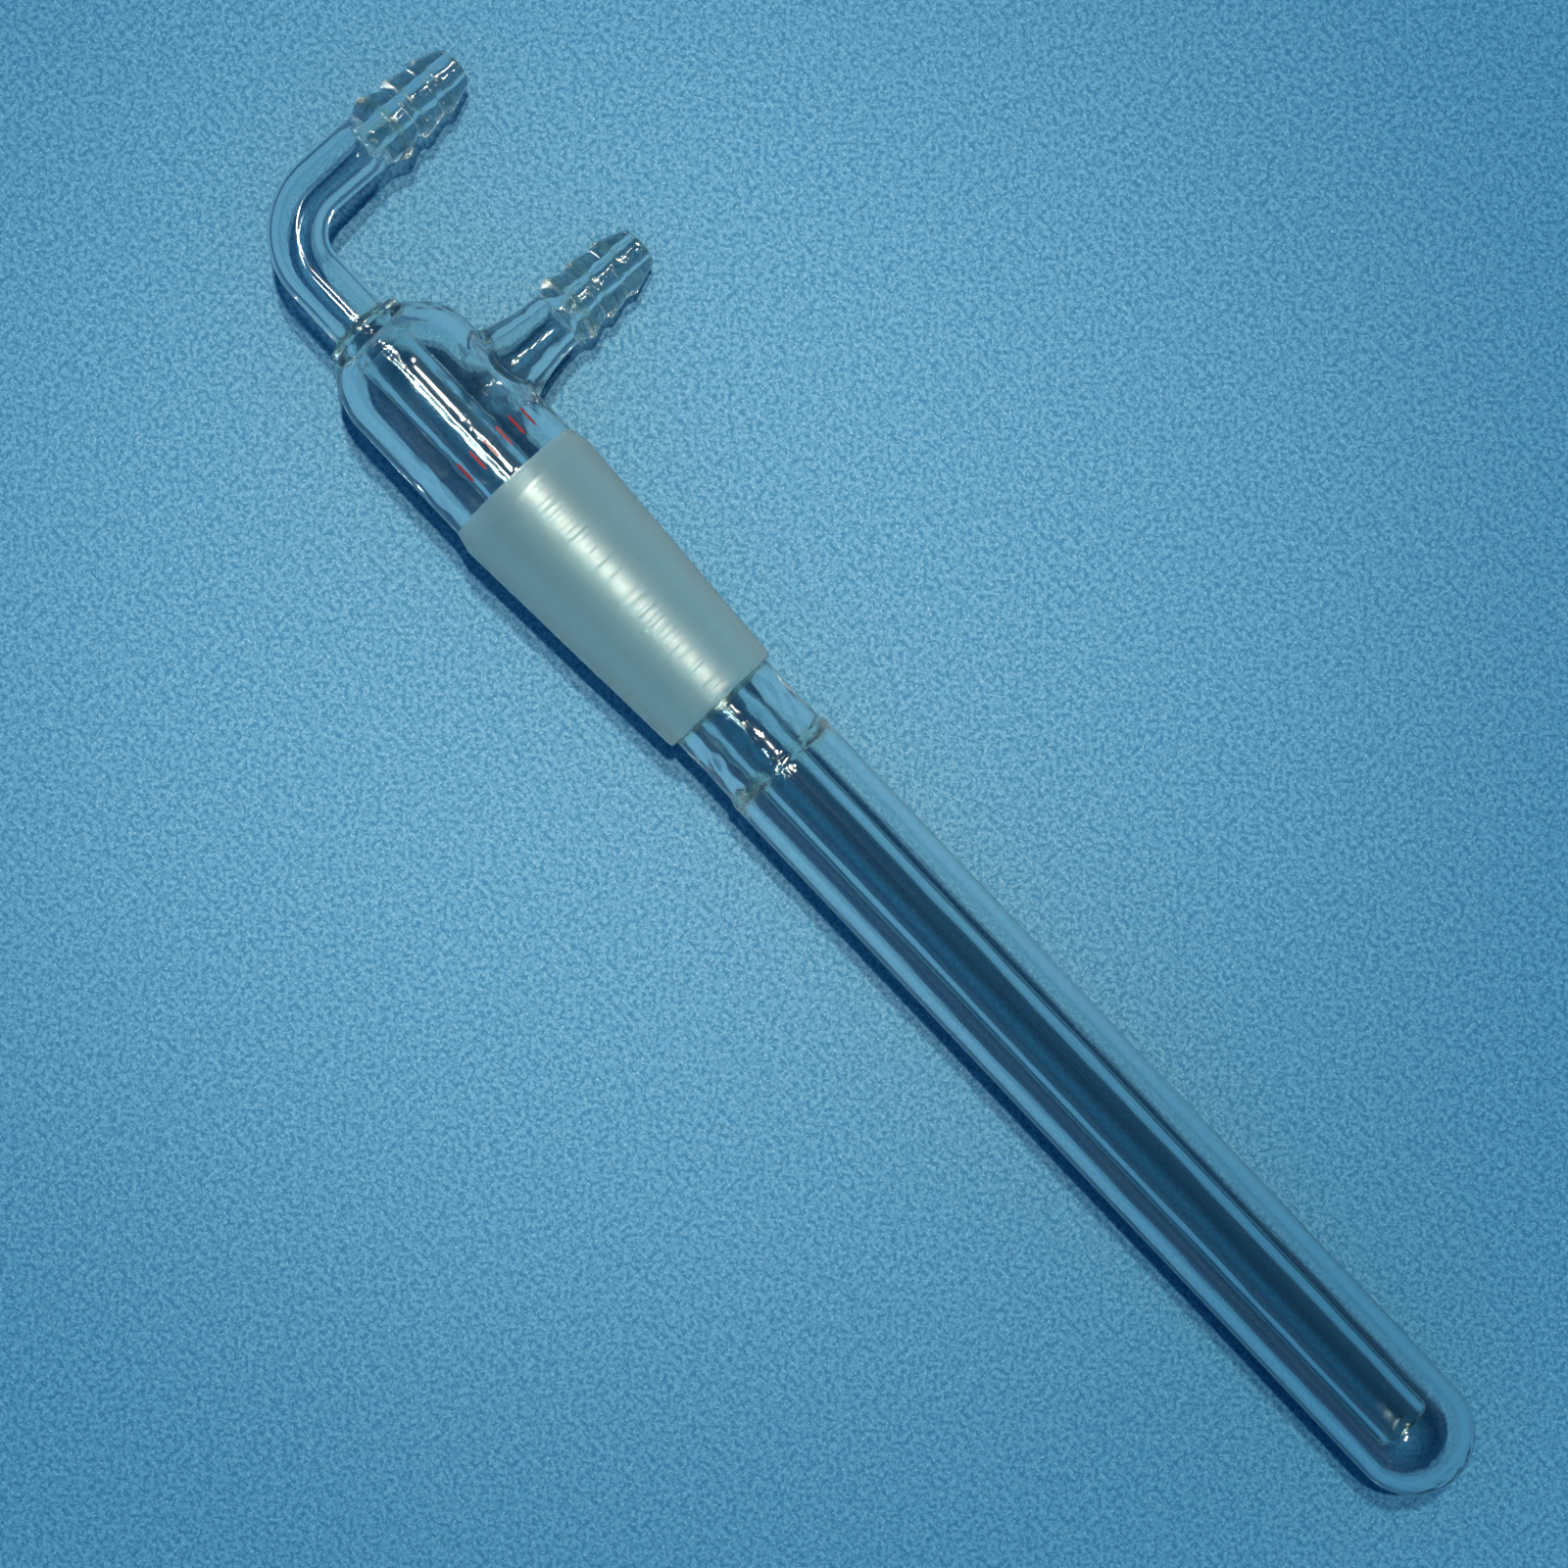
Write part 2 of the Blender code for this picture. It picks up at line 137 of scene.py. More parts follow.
bendRadius = bendStart - inletStation
print("frame read:", len(cad), "CAD nodes, body", round(at["tip"] - inletStation, 1), "mm long")


# profiles, as (station, radius) points
def between(a, b, share):
    return tuple(a[k] + (b[k] - a[k]) * share for k in range(len(a)))


def curve(a, pull, b, count=8):  # from a to b, drawn towards pull; a itself is left out
    steps = [i / count for i in range(1, count + 1)]
    return [between(between(a, pull, t), between(pull, b, t), t) for t in steps]


def eased(corners, reach, count=6):  # every corner rounded, starting 'reach' before it
    points = [corners[0]]
    for before, corner, after in zip(corners, corners[1:], corners[2:]):
        lengthIn, lengthOut = math.dist(before, corner), math.dist(corner, after)
        cut = min(reach, lengthIn * 0.47, lengthOut * 0.47)
        enter = between(corner, before, cut / lengthIn)
        points += [enter] + curve(enter, corner, between(corner, after, cut / lengthOut), count)
    return points + [corners[-1]]


def filled(points, step):  # no two neighbours further apart than step
    result = [points[0]]
    for a, b in zip(points, points[1:]):
        count = max(1, math.ceil(math.dist(a, b) / step))
        result += [between(a, b, i / count) for i in range(1, count + 1)]
    return result


def ellipse(centre, reachAlong, reachOut, start, end, count):  # part of an ellipse, angles from the axis
    points = []
    for i in range(count + 1):
        angle = math.radians(start + (end - start) * i / count)
        points.append((centre + reachAlong * math.cos(angle), reachOut * math.sin(angle)))
    return points


runLength = at["inletWeld"] - bendStart
arcLength = bendRadius * math.pi / 2

# hand work at the lamp, as (station, spread, lumps, flame tint, sided): lumps in millimetres, and sided is the
# share of both that is kept to the two sides of the glass
midRing = (at["inletWeld"] + at["domeBack"]) / 2
midSeal = (at["tailFront"] + at["fingerBack"]) / 2
flameWork = {
    "outside": [
        (midRing, 0.9, 0.42, 1.0, 0.8),
        (at["domeBack"] + 4.0, 3.0, 0.10, 0.0, 0.0),
        (outletStation + 6.0, 3.0, 0.07, 0.0, 0.0),
        (midSeal, 0.9, 0.30, 1.0, 0.85),
        (at["tailBack"], 0.5, 0.03, 0.9, 0.0),
        ((at["tailBack"] + at["tailFront"]) / 2, 3.5, 0.08, 0.0, 0.0),
        (at["tip"], 2.5, 0.10, 0.1, 0.0),
    ],
    "cavity": [
        (at["domeBack"] + 2.6, 1.6, 0.24, 0.3, 0.5),
        (outletStation + 5.0, 4.0, 0.09, 0.0, 0.0),
        (-6.0, 3.0, 0.05, 0.0, 0.0),
        (midSeal, 1.1, 0.40, 0.9, 0.85),
        ((at["tailBack"] + at["tailFront"]) / 2, 4.5, 0.26, 0.1, 0.0),
        (at["tip"], 3.0, 0.30, 0.1, 0.0),
    ],
    "dip": [(at["dipBack"] + 2.0, 5.0, 0.12, 0.1, 0.0), (at["dipFront"], 0.6, 0.06, 0.7, 0.0)],
    "bend": [(0.0, 2.2, 0.14, 0.2, 0.5), (at["inletRoot"] + 25.0, 1.5, 0.05, 0.4, 0.0)],
    "inletBarb": [
        (22.3, 0.7, 0.10, 0.9, 0.0), (26.9, 0.5, 0.06, 0.7, 0.0), (31.9, 0.5, 0.06, 0.6, 0.0),
        (36.6, 0.4, 0.05, 0.6, 0.0), (31.0, 8.0, 0.10, 0.0, 0.0),
    ],
    "outletBarb": [
        (24.0, 0.7, 0.10, 0.9, 0.0), (28.3, 0.5, 0.06, 0.7, 0.0), (33.3, 0.5, 0.06, 0.6, 0.0),
        (38.2, 0.4, 0.05, 0.6, 0.0), (32.0, 8.0, 0.10, 0.0, 0.0),
    ],
    "neck": [(12.0, 1.4, 0.16, 0.1, 0.0), (18.0, 3.0, 0.10, 0.0, 0.0)],
    "bendBore": [(0.0, 2.5, 0.12, 0.1, 0.0)],
    "sealBore": [(midRing, 2.5, 0.16, 0.2, 0.0)],
}
# slow unevenness of drawn tube, and how fine the flame's lumps are
drawn = {"wave": 0.035, "along": 0.045, "across": 0.13, "lumpScale": 0.55}
# the dip tube leans away from the arms, and the dome's inside starts to follow it this far off its wall
dip = {"lip": 0.6, "step": 1.5, "lean": 0.55, "leanEnd": 0.15, "follow": 0.3, "lipRings": 12}


def smoothShare(value):
    value = min(max(value, 0.0), 1.0)
    return value * value * (3 - 2 * value)


def leanAt(point, path, station):  # how far a point of the glass sits off the body's axis
    radius = math.hypot(point[1], point[2])
    if path in ("bend", "bendBore"):
        share = 1 - smoothShare((station - runLength) / arcLength)
    elif path in ("dip", "sealBore"):
        share = 1.0
    elif path == "outside" and point[0] < at["headBack"]:
        share = smoothShare((headRadius - radius) / (headRadius - ringRadius))
    elif path == "cavity" and point[0] < at["headBack"]:
        share = smoothShare((headBore - radius) / (headBore - dipRadius - dip["follow"]))
    else:
        return 0.0
    down = smoothShare((point[0] - at["dipBack"]) / (at["dipFront"] - at["dipBack"]))
    return share * (dip["lean"] + (dip["leanEnd"] - dip["lean"]) * down)


class Blowing:
    # the whole glass as one skin of rings, each face belonging to the piece it will be cut into
    def __init__(self):
        self.points, self.lump, self.flame, self.lean, self.path = [], [], [], [], []
        self.faces, self.owner, self.ground = [], [], []

    def ring(self, points, path, station):
        first = len(self.points)
        self.points += points
        for point in points:
            lump = flame = 0.0
            side = point[1] ** 2 / max(point[1] ** 2 + point[2] ** 2, 0.01)
            for centre, spread, height, tint, sided in flameWork[path]:
                share = math.exp(-(((station - centre) / spread) ** 2)) * (1 - sided * (1 - side))
                lump, flame = lump + height * share, max(flame, tint * share)
            self.lump.append(lump)
            self.flame.append(flame)
        self.lean += [leanAt(point, path, station) for point in points]
        self.path += [path] * len(points)
        return list(range(first, len(self.points)))

    def face(self, corners, piece, ground=False):
        self.faces.append(corners)
        self.owner.append(piece)
        self.ground.append(ground)

    def join(self, a, b, piece, ground=False):
        for k in range(len(a)):
            n = (k + 1) % len(a)
            self.face((a[k], a[n], b[n], b[k]), piece, ground)

    def sweep(self, first, profile, place, path, piece, last=None, ground=False):
        # rings along a profile whose first point is the ring 'first'; a given last ring closes it
        ring = first
        for station, radius in profile[1 : -1 if last else None]:
            made = self.ring(place(station, radius), path, station)
            self.join(ring, made, piece, ground)
            ring = made
        if last:
            self.join(ring, last, piece, ground)
            ring = last
        return ring

    def close(self, ring, point, path, piece):
        pole = self.ring([point], path, point[0])[0]
        for k in range(len(ring)):
            self.face((ring[k], ring[(k + 1) % len(ring)], pole), piece)


around = 120
turnAngles = [2 * math.pi * i / around for i in range(around)]


def bodyRing(station, radius):
    return [(station, radius * math.cos(a), radius * math.sin(a)) for a in turnAngles]


def bendRing(distance, radius):  # distance goes back from the ring seal, round the bend and up the arm
    turn = min(max((distance - runLength) / bendRadius, 0.0), math.pi / 2)
    centre = Vector((
        bendStart - bendRadius * math.sin(turn) + max(runLength - distance, 0.0),
        bendRadius * (1 - math.cos(turn)) + max(distance - runLength - arcLength, 0.0),
        0.0,
    ))
    inward = Vector((math.sin(turn), math.cos(turn), 0.0))
    across = Vector((0.0, 0.0, 1.0))
    return [
        tuple(centre + inward * (radius * math.cos(a)) + across * (radius * math.sin(a)))
        for a in turnAngles
    ]


def inletRing(height, radius):
    return [(inletStation + radius * math.cos(a), height, radius * math.sin(a)) for a in turnAngles]


blown = Blowing()

# inlet barb: outside, fire-polished lip and bore, then the bend back to the ring seal
barbFinish = {"crestEase": 0.55, "step": 0.35, "boreStep": 0.8, "lipDepth": 0.5, "boreEase": 1.2}


def barbProfile(outside, bore):  # up the outside, over the lip and down the bore
    skin = eased(outside, barbFinish["crestEase"], 5)
    tip, lipRadius = outside[-1]
    boreRadius = bore[-1][1]
    lipPull, lipEnd = (tip + 0.02, boreRadius + 0.1), (tip - barbFinish["lipDepth"], boreRadius)
    lip = curve((tip, lipRadius), lipPull, lipEnd, 6)
    down = eased([lip[-1], (bore[1][0], boreRadius), bore[0]], barbFinish["boreEase"], 8)
    return filled(skin, barbFinish["step"]) + lip + filled(down, barbFinish["boreStep"])[1:]


inletOutside, inletBarbBore = armShape("inlet_hose_barb", inletStation)
inletOutside[0], inletBarbBore[0] = (at["inletRoot"], inletRadius), (at["inletRoot"], inletBore)
inletRootRing = blown.ring(inletRing(at["inletRoot"], inletRadius), "inletBarb", at["inletRoot"])
inletBoreRing = blown.sweep(
    inletRootRing, barbProfile(inletOutside, inletBarbBore), inletRing, "inletBarb", "inlet_barb_glass"
)

bendLength = runLength + arcLength + at["inletRoot"] - bendRadius
bendStep = 0.9
ringBack = blown.ring(bodyRing(at["inletWeld"], inletRadius), "outside", at["inletWeld"])
ringBackBore = blown.ring(bodyRing(at["inletWeld"], inletBore), "sealBore", at["inletWeld"])
blown.sweep(
    inletRootRing,
    filled([(bendLength, inletRadius), (0.0, inletRadius)], bendStep),
    bendRing, "bend", "inlet_bend_glass", last=ringBack,
)
blown.sweep(
    inletBoreRing,
    filled([(bendLength, inletBore), (0.0, inletBore)], bendStep),
    bendRing, "bendBore", "inlet_bend_glass", last=ringBackBore,
)
print("inlet arm swept")

# body, outside: ring seal bead, dome, head with the outlet's hole, ground cone, tail, finger and its end
ringSeal = {
    "swell": 0.05, "notch": 0.12, "neckRise": 0.7, "noseFillet": 1.1, "noseStep": 0.4,
    "boreEase": 1.0, "boreStart": 2.4, "boreStep": 0.5,
    "neckPull": 0.30, "neckEnd": 0.36, "crestPull": 0.42, "crest": 0.62,  # shares of the bead's length
}


def beadSkin():  # from the inlet tube over the bead's crest and down into the notch before the dome
    start, end = at["inletWeld"], at["domeBack"]
    length = end - start
    neck = (start + length * ringSeal["neckEnd"], inletRadius + ringSeal["neckRise"])
    crest = (start + length * ringSeal["crest"], ringRadius + ringSeal["swell"])
    notch = (end, ringRadius - ringSeal["notch"])
    bead = [(start, inletRadius)]
    bead += curve(bead[0], (start + length * ringSeal["neckPull"], inletRadius), neck, 5)
    bead += curve(bead[-1], (start + length * ringSeal["crestPull"], ringRadius), crest, 5)
    return bead + curve(crest, (end - 0.15, ringRadius + ringSeal["swell"]), notch, 4)


ring = blown.sweep(ringBack, beadSkin(), bodyRing, "outside", "ring_seal_glass")
domeRings = {"outside": 24, "inside": 20}
domeReach = (at["headBack"] - at["domeBack"]) / math.sqrt(1 - (ringRadius / headRadius) ** 2)
domeStart = 180 - math.degrees(math.asin(ringRadius / headRadius))
dome = ellipse(at["headBack"], domeReach, headRadius, domeStart, 90, domeRings["outside"])
dome[0] = (at["domeBack"], ringRadius - ringSeal["notch"])
headBackRing = blown.sweep(ring, dome, bodyRing, "outside", "dome_glass")


def drilledTube(first, stations, radius, path, window, rim, bearings=None):
    # a plain tube with a window of its cells left out, and the window filled in round an oval hole
    low, high, half = window
    rows = [first]
    for i, station in enumerate(stations[1:], 1):
        inside = [low < i < high and min(j, around - j) < half for j in range(around)]
        points = bodyRing(station, radius)
        made = blown.ring([p for p, gone in zip(points, inside) if not gone], path, station)
        kept = iter(made)
        rows.append([None if gone else next(kept) for gone in inside])
    for i in range(len(stations) - 1):
        for j in range(around):
            side = j if j < around / 2 else j - around
            if not (low <= i < high and -half <= side < half):
                n = (j + 1) % around
                corners = (rows[i][j], rows[i][n], rows[i + 1][n], rows[i + 1][j])
                blown.face(corners, "head_glass")
    edge = [(i, -half) for i in range(low, high)] + [(high, j) for j in range(-half, half)]
    edge += [(i, half) for i in range(high, low, -1)] + [(low, j) for j in range(half, -half, -1)]
    frameRing = [rows[i][j % around] for i, j in edge]
    flatEdge = [(stations[i], j * 2 * math.pi / around) for i, j in edge]
    if bearings is None:
        bearings = [math.atan2(radius * a, u - outletStation) for u, a in flatEdge]
    hole = []
    for bearing in bearings:
        reach = rim(bearing)
        turn = math.asin(reach * math.sin(bearing) / radius)
        hole.append((outletStation + reach * math.cos(bearing), turn))
    ring, rounds = frameRing, outlet["rounds"]
    for k in range(1, rounds + 1):
        spots = [between(a, b, k / rounds) for a, b in zip(flatEdge, hole)]
        points = [(u, radius * math.cos(a), radius * math.sin(a)) for u, a in spots]
        made = blown.ring(points, path, outletStation)
        blown.join(ring, made, "head_glass")
        ring = made
    return rows[-1], ring, bearings


def stationsThrough(start, low, high, end, cells, step):
    # stations with 'cells' even ones between low and high; also where those two are in the list
    before = filled([(start,), (low,)], step)
    middle = filled([(low,), (high,)], (high - low) / cells * 1.0001)
    after = filled([(high,), (end,)], step)
    return [p[0] for p in before + middle[1:] + after[1:]], len(before) - 1


outlet = {
    "rimFront": 7.6, "rimBack": 7.0, "window": (-7.45, 8.0), "cells": 26, "halfCells": 15,
    "boreRim": 4.9, "boreWindow": (-6.2, 6.2), "boreCells": 28, "boreHalfCells": 14,
    "rounds": 4, "saddleFrom": 1.5, "saddleOver": 6.0, "stationStep": 0.8,
    "readFrom": 1.0, "neckStep": 0.5,
}
outsideStations, low = stationsThrough(
    at["headBack"], outletStation + outlet["window"][0], outletStation + outlet["window"][1],
    at["coneBack"], outlet["cells"], outlet["stationStep"],
)
rimMiddle = (outlet["rimFront"] + outlet["rimBack"]) / 2
rimLean = (outlet["rimFront"] - outlet["rimBack"]) / 2
coneBackRing, neckRim, bearings = drilledTube(
    headBackRing, outsideStations, headRadius, "outside", (low, low + outlet["cells"], outlet["halfCells"]),
    lambda bearing: rimMiddle + rimLean * math.cos(bearing),
)

cone = {
    "groundEnd": 40.0, "rimEase": 0.3, "step": 0.8, "turnIn": 0.45,
    "groundRings": 6,  # of the shoulder's rings
    "boreEnd": 38.6, "boreEase": 2.0, "boreStep": 1.0,
}
endRadius = wallAt("ground_joint_cone", cone["groundEnd"])[1]


def shoulderSkin():  # over the cone's small end and in to the tail
    end = at["tailBack"]
    rim, turnIn = (cone["groundEnd"], endRadius), (end - 0.12, tailRadius + cone["turnIn"])
    shoulder = [rim] + curve(rim, (end - 0.1, endRadius - 0.02), turnIn, 7)
    return shoulder + curve(shoulder[-1], (end - 0.15, tailRadius), (end, tailRadius), 5)


def sweepOutside(ring, skin, piece, ground=False):
    return blown.sweep(ring, skin, bodyRing, "outside", piece, ground=ground)


groundLine = [(at["coneBack"], headRadius), (0.0, coneRadius), (cone["groundEnd"], endRadius)]
groundSkin = filled(eased(groundLine, cone["rimEase"], 5), cone["step"])
shoulder = shoulderSkin()
ring = sweepOutside(coneBackRing, groundSkin, "cone_glass", ground=True)
ring = sweepOutside(ring, shoulder[:cone["groundRings"]], "cone_glass", ground=True)
ring = sweepOutside(ring, shoulder[cone["groundRings"] - 1 :], "cone_glass")

# tail, finger seal, finger and its round end
tail = {"waist": 0.12, "beadOut": 0.22, "beadIn": -0.35, "rings": 14}


def waistSkin(radius, depth):  # the tail's side, drawn in a little at its middle
    points = []
    for i in range(tail["rings"] + 1):
        share = i / tail["rings"]
        station = at["tailBack"] + (at["tailFront"] - at["tailBack"]) * share
        points.append((station, radius - depth * math.sin(math.pi * share) ** 2))
    return points


def sealSkin(start, end, swell):  # the weld between tail and finger, swollen in its middle
    points = []
    for i in range(tail["rings"] + 1):
        share = i / tail["rings"]
        station = at["tailFront"] + (at["fingerBack"] - at["tailFront"]) * share
        points.append((station, start + (end - start) * share + swell * math.sin(math.pi * share) ** 2))
    return points


finger = {"step": 1.3, "endRings": 30, "innerReach": 7.3, "poleAngle": 2.5}
ring = sweepOutside(ring, waistSkin(tailRadius, tail["waist"]), "tail_glass")
ring = sweepOutside(ring, sealSkin(tailRadius, fingerRadius, tail["beadOut"]), "finger_seal_glass")
fingerLine = [(at["fingerBack"], fingerRadius), (at["fingerFront"], fingerRadius)]
ring = sweepOutside(ring, filled(fingerLine, finger["step"]), "finger_glass")


def fingerEnd(reach, radius):  # round end, up to just short of its pole
    return ellipse(at["fingerFront"], reach, radius, 90, finger["poleAngle"], finger["endRings"])


ring = sweepOutside(ring, fingerEnd(at["tip"] - at["fingerFront"], fingerRadius), "finger_end_glass")
blown.close(ring, (at["tip"], 0.0, 0.0), "outside", "finger_end_glass")
print("body's outside swept")

# outlet: the neck flares on to the head, and its bore opens into the head
neckOutside, neckBore = armShape("outlet_neck", outletStation, headRadius + outlet["readFrom"])
outletRadius, outletBore = neckOutside[-1][1], neckBore[-1][1]
neckOutside.append((at["outletRoot"], outletRadius))
neckBore.append((at["outletRoot"], outletBore))


def outletRing(height, radius):
    return [(outletStation + radius * math.cos(b), height, radius * math.sin(b)) for b in bearings]


def saddleRing(bodyRadius):  # rings that follow the body's round side near it and are level further out
    def place(height, radius):
        level = smoothShare((height - bodyRadius - outlet["saddleFrom"]) / outlet["saddleOver"])
        points = []
        for b in bearings:
            sideways = radius * math.sin(b)
            drop = bodyRadius - math.sqrt(bodyRadius**2 - sideways**2)
            points.append((outletStation + radius * math.cos(b), height - drop * (1 - level), sideways))
        return points
    return place


def neckProfile(shape, bodyRadius, rim):  # from the hole's rim on the body up to the barb's root
    base, above = shape[0], shape[1]
    slope = (base[1] - above[1]) / (above[0] - base[0])
    pull = (bodyRadius, base[1] + slope * (base[0] - bodyRadius))
    flare = curve((bodyRadius, rim), pull, base, 9)
    return [(bodyRadius, rim)] + flare + filled(shape, outlet["neckStep"])[1:]


neckSkin = neckProfile(neckOutside, headRadius, rimMiddle)
ring = blown.sweep(neckRim, neckSkin, saddleRing(headRadius), "neck", "outlet_neck_glass")
outletOutside, outletBarbBore = armShape("outlet_hose_barb", outletStation)
outletOutside[0], outletBarbBore[0] = (at["outletRoot"], outletRadius), (at["outletRoot"], outletBore)
outletBoreRing = blown.sweep(
    ring, barbProfile(outletOutside, outletBarbBore), outletRing, "outletBarb", "outlet_barb_glass"
)

# ring seal's bore and the dip tube: down its bore, round its free end and back up its outside
sealBore = [(at["inletWeld"], inletBore), (at["inletWeld"] + ringSeal["boreStart"], inletBore)]
sealBore += [(at["dipBack"] - 1.0, dipBore), (at["dipBack"], dipBore)]
sealBore = eased(sealBore, ringSeal["boreEase"], 6)
sealBore = filled(sealBore, ringSeal["boreStep"])
dipBoreRing = blown.sweep(ringBackBore, sealBore, bodyRing, "sealBore", "ring_seal_glass")
lipStart = at["dipFront"] - dip["lip"]
wallMiddle, wallHalf = (dipBore + dipRadius) / 2, (dipRadius - dipBore) / 2
dipSkin = filled([(at["dipBack"], dipBore), (lipStart, dipBore)], dip["step"])
for i in range(1, dip["lipRings"]):
    angle = math.pi * i / dip["lipRings"]
    dipSkin.append((lipStart + dip["lip"] * math.sin(angle), wallMiddle - wallHalf * math.cos(angle)))
dipSkin += filled([(lipStart, dipRadius), (at["dipBack"], dipRadius)], dip["step"])
dipBackRing = blown.sweep(dipBoreRing, dipSkin, bodyRing, "dip", "dip_tube_glass")

# the space round the dip tube: ring seal's nose, dome, head, cone, tail and finger, from inside
domeInnerReach = domeReach - headRadius + headBore
fillet = ringSeal["noseFillet"]
noseEnd = at["headBack"] - math.sqrt(1 - (dipRadius / headBore) ** 2) * domeInnerReach
domeInnerStart = 180 - math.degrees(math.asin((dipRadius + fillet) / headBore))
domeInside = ellipse(at["headBack"], domeInnerReach, headBore, domeInnerStart, 90, domeRings["inside"])
nose = filled([(at["dipBack"], dipRadius), (noseEnd + fillet, dipRadius)], ringSeal["noseStep"])
nose += curve(nose[-1], (noseEnd - 0.1, dipRadius + 0.05), domeInside[0], 8)
ring = blown.sweep(dipBackRing, nose, bodyRing, "cavity", "ring_seal_glass")
ring = blown.sweep(ring, domeInside, bodyRing, "cavity", "dome_glass")
boreStations, low = stationsThrough(
    at["headBack"], outletStation + outlet["boreWindow"][0], outletStation + outlet["boreWindow"][1],
    at["coneBack"], outlet["boreCells"], outlet["stationStep"],
)
ring, boreRim, bearings = drilledTube(
    ring, boreStations, headBore, "cavity", (low, low + outlet["boreCells"], outlet["boreHalfCells"]),
    lambda bearing: outlet["boreRim"], bearings,
)
boreProfile = neckProfile(neckBore, headBore, outlet["boreRim"])[::-1]
blown.sweep(outletBoreRing, boreProfile, saddleRing(headBore), "neck", "outlet_neck_glass", last=boreRim)


def sweepInside(ring, skin, piece):
    return blown.sweep(ring, skin, bodyRing, "cavity", piece)


coneEndBore = wallAt("ground_joint_cone", cone["boreEnd"])[0]
coneInside = [(at["coneBack"], headBore), (0.0, coneBore)]
coneInside += [(cone["boreEnd"], coneEndBore), (at["tailBack"], tailBore)]
coneInside = filled(eased(coneInside, cone["boreEase"], 6), cone["boreStep"])
ring = sweepInside(ring, coneInside, "cone_glass")
ring = sweepInside(ring, waistSkin(tailBore, 0.0), "tail_glass")
ring = sweepInside(ring, sealSkin(tailBore, fingerBore, tail["beadIn"]), "finger_seal_glass")
fingerInside = [(at["fingerBack"], fingerBore), (at["fingerFront"], fingerBore)]
ring = sweepInside(ring, filled(fingerInside, finger["step"]), "finger_glass")
ring = sweepInside(ring, fingerEnd(finger["innerReach"], fingerBore), "finger_end_glass")
blown.close(ring, (at["fingerFront"] + finger["innerReach"], 0.0, 0.0), "cavity", "finger_end_glass")
print("glass swept:", len(blown.points), "points,", len(blown.faces), "faces")


# one closed skin first, so that its bends and its smoothness run through every weld
def settledSkin():
    skin = bpy.data.meshes.new("skin")
    skin.from_pydata(blown.points, [], blown.faces)
    work = bmesh.new()
    work.from_mesh(skin)
    bmesh.ops.recalc_face_normals(work, faces=work.faces)
    openEdges = sum(1 for edge in work.edges if len(edge.link_faces) != 2)
    work.to_mesh(skin)
    work.free()
    print("open or doubled edges in the skin:", openEdges)
    return skin


def unevenness(point, k):
    u, v, w = point
    swap = blown.path[k] in ("inletBarb", "outletBarb", "neck")
    long, short = (v, u) if swap else (u, v)
    wave = noise.noise(Vector((long * drawn["along"], short * drawn["across"], w * drawn["across"])))
    return drawn["wave"] * wave + blown.lump[k] * noise.noise(Vector(point) * drawn["lumpScale"])


skin = settledSkin()
normals = [Vector(v.vector) for v in skin.vertex_normals]
for k, vertex in enumerate(skin.vertices):
    point = Vector(blown.points[k])
    vertex.co = point + normals[k] * unevenness(point, k) + Vector((0.0, -blown.lean[k], 0.0))
skin.update()
smoothWays = [glassAxes @ v.vector for v in skin.vertex_normals]
skinFaces = [tuple(polygon.vertices) for polygon in skin.polygons]
skinPlaces = [tuple(vertex.co) for vertex in skin.vertices]
print("skin settled")


# shader nodes as arithmetic
class Signal:
    # a socket that takes part in sums; each operation on it adds a Math node
    def __init__(self, finish, socket):
        self.finish, self.socket = finish, socket

    def math(self, operation, *values):
        inputs = dict(enumerate(values))
        return self.finish.node("Math", {"operation": operation}, inputs)

    def __add__(self, other):
        return self.math("ADD", self, other)

    def __sub__(self, other):
        return self.math("SUBTRACT", self, other)

    def __rsub__(self, other):
        return self.math("SUBTRACT", other, self)

    def __mul__(self, other):
        return self.math("MULTIPLY", self, other)

    __radd__, __rmul__ = __add__, __mul__

    def clamped(self):
        return self.math("MINIMUM", self.math("MAXIMUM", self, 0.0), 1.0)


class Finish:
    # one material and its nodes
    def __init__(self, name):
        self.material = bpy.data.materials.new(name)
        self.material.use_nodes = True
        self.tree = self.material.node_tree
        self.tree.nodes.clear()

    def node(self, kind, settings=None, inputs=None, output=0):
        made = self.tree.nodes.new("ShaderNode" + kind)
        for name, value in (settings or {}).items():
            setattr(made, name, value)
        for name, value in (inputs or {}).items():
            if isinstance(value, Signal):
                self.tree.links.new(value.socket, made.inputs[name])
            else:
                made.inputs[name].default_value = value
        return Signal(self, made.outputs[output])

    def blend(self, share, a, b):  # two colours mixed
        return self.node("Mix", {"data_type": "RGBA"}, {0: share, 6: a, 7: b}, output=2)

    def place(self, stretch):  # the point in the glass's own frame, in mm, stretched along each axis
        spot = self.node("Attribute", {"attribute_name": "glassPlace"}, output=1)
        return self.node("VectorMath", {"operation": "MULTIPLY"}, {0: spot, 1: stretch})

    def grain(self, where, scale, detail=3.0, roughness=0.5):
        values = {"Vector": where, "Scale": scale, "Detail": detail, "Roughness": roughness}
        return self.node("TexNoise", {}, values)

    def relief(self, height, strength, depth):  # depth in metres
        return self.node("Bump", {}, {"Strength": strength, "Distance": depth, "Height": height})

    def edgeOn(self):  # 0 where a ray meets the surface square on, 1 where it grazes it
        return self.node("LayerWeight", {}, {"Blend": 0.5}, output=1)

    def finished(self, surface):
        output = self.tree.nodes.new("ShaderNodeOutputMaterial")
        self.tree.links.new(surface.socket, output.inputs["Surface"])
        return self.material


def colour(red, green, blue):
    return (red, green, blue, 1.0)


